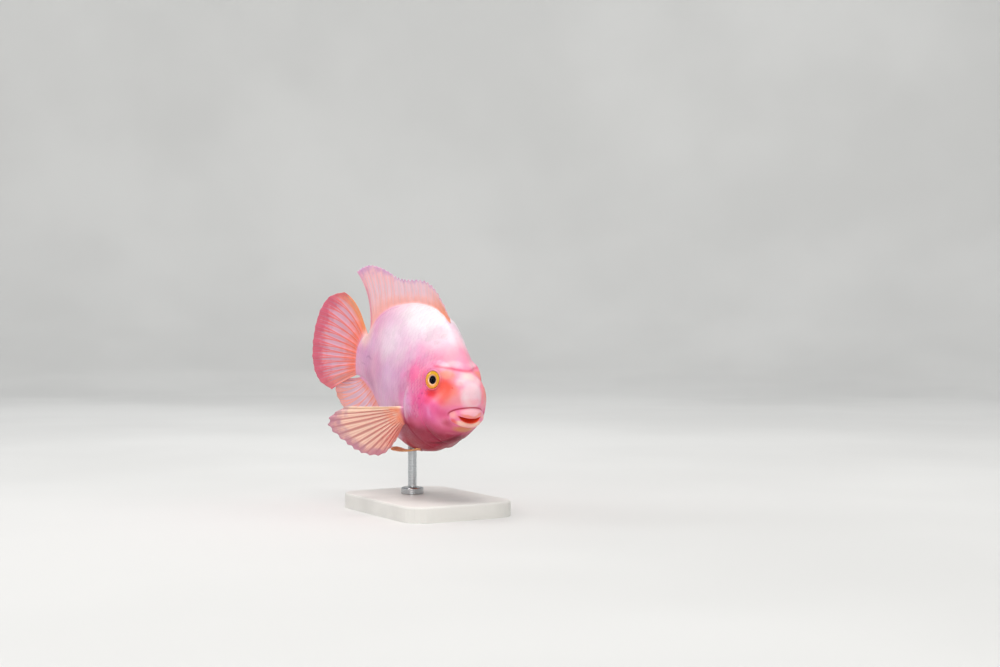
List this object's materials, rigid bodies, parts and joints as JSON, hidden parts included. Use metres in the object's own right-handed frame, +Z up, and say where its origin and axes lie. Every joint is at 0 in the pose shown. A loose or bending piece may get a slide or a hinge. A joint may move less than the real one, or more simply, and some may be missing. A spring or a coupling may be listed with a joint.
{
  "type": "blood parrot cichlid model",
  "caption": "Life-size still model of a blood parrot cichlid swimming nose down with its tail swung to its right, on a plain display stand.",
  "frame": {"origin": "centre of the stand base's underside", "axes": "+Z up, +X the way the fish's head faces, +Y to the fish's left"},
  "size_m": [0.204, 0.1255, 0.1966],
  "materials": {
    "skin": "satin pink skin",
    "eye": "glossy gold eye",
    "fin": "satin peach fins",
    "stand_base": "matt dark paint",
    "stand_metal": "brushed steel"
  },
  "bodies": {
    "root": {"head": "skin", "trunk": "skin", "tail_stalk": "skin", "eye_left": "eye", "eye_right": "eye", "dorsal_fin": "fin", "anal_fin": "fin", "tail_fin": "fin", "pectoral_fin_left": "fin", "pectoral_fin_right": "fin", "pelvic_fin_left": "fin", "pelvic_fin_right": "fin", "stand_base": "stand_base", "stand_collar": "stand_metal", "stand_rod": "stand_metal"}
  },
  "joints": []
}
